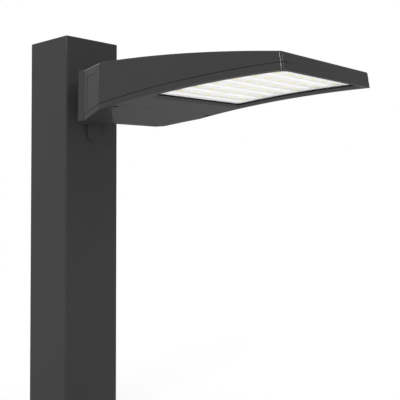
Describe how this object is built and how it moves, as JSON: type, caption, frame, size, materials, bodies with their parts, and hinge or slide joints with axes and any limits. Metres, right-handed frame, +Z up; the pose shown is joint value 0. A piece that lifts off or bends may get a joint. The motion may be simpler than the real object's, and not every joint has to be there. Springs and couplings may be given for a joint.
{
  "type": "area light",
  "caption": "Arched LED area light on a square pole section: tapered cast head with recessed lens, finned heat sink, hinged driver door and bolted arm.",
  "frame": {"origin": "centre of the pole section's plain lower end", "axes": "+Z up along the pole, -Y out along the head away from the pole, X across the head"},
  "size_m": [0.2472, 0.661, 0.762],
  "materials": {
    "pole_paint": "dark grey powder coat on steel",
    "head_paint": "dark grey textured powder coat on cast aluminium",
    "black_rubber": "matte black rubber",
    "grey_silicone": "soft grey silicone",
    "zinc_steel": "zinc plated steel",
    "black_steel": "black oxide steel",
    "clear_glass": "clear tempered glass",
    "bare_aluminium": "dark grey coated extrusion",
    "board_white": "white solder mask",
    "phosphor_yellow": "yellow phosphor",
    "optic_clear": "clear moulded acrylic",
    "mask_white": "white reflective sheet",
    "driver_case": "plain metal case, potted",
    "surge_case": "black moulded case",
    "terminal_grey": "light grey moulded nylon",
    "wire_red": "insulated lead",
    "wire_black": "insulated lead"
  },
  "bodies": {
    "base": {"pole_section": "pole_paint", "pole_cap": "pole_paint", "pole_bracket": "pole_paint", "pole_gasket": "black_rubber", "arm": "head_paint", "arm_bolts": "zinc_steel", "bolt_washers": "zinc_steel", "nut_plate": "zinc_steel", "wire_grommet": "black_rubber", "housing": "head_paint", "lens_frame": "head_paint", "lens": "clear_glass", "lens_gasket": "black_rubber", "frame_seal": "grey_silicone", "heat_sink": "bare_aluminium", "led_boards": "board_white", "led_clusters": "phosphor_yellow", "optic_strips": "optic_clear", "reflector_mask": "mask_white", "board_screws": "zinc_steel", "clamp_screws": "zinc_steel", "hinge_pins": "zinc_steel", "led_driver": "driver_case", "driver_screws": "zinc_steel", "surge_protector": "surge_case", "terminal_block": "terminal_grey", "lead_grommet": "black_rubber", "led_leads": "wire_red", "driver_leads": "wire_black"},
    "door": {"driver_door": "head_paint", "door_gasket": "grey_silicone"},
    "screw_left": {"door_screw_left": "black_steel"},
    "screw_right": {"door_screw_right": "black_steel"}
  },
  "joints": [
    {"name": "door_hinge", "type": "hinge", "parent": "base", "child": "door", "pos_m": [0, -0.1585, 0.5924], "axis": [1, 0, 0], "range_deg": [0, 90]},
    {"name": "screw_left_turn", "type": "hinge", "parent": "door", "child": "screw_left", "pos_m": [-0.11176, -0.2695, 0.6049], "axis": [0, 0, 1], "range_deg": [0, 90]},
    {"name": "screw_right_turn", "type": "hinge", "parent": "door", "child": "screw_right", "pos_m": [0.11176, -0.2695, 0.6049], "axis": [0, 0, 1], "range_deg": [0, 90]}
  ]
}
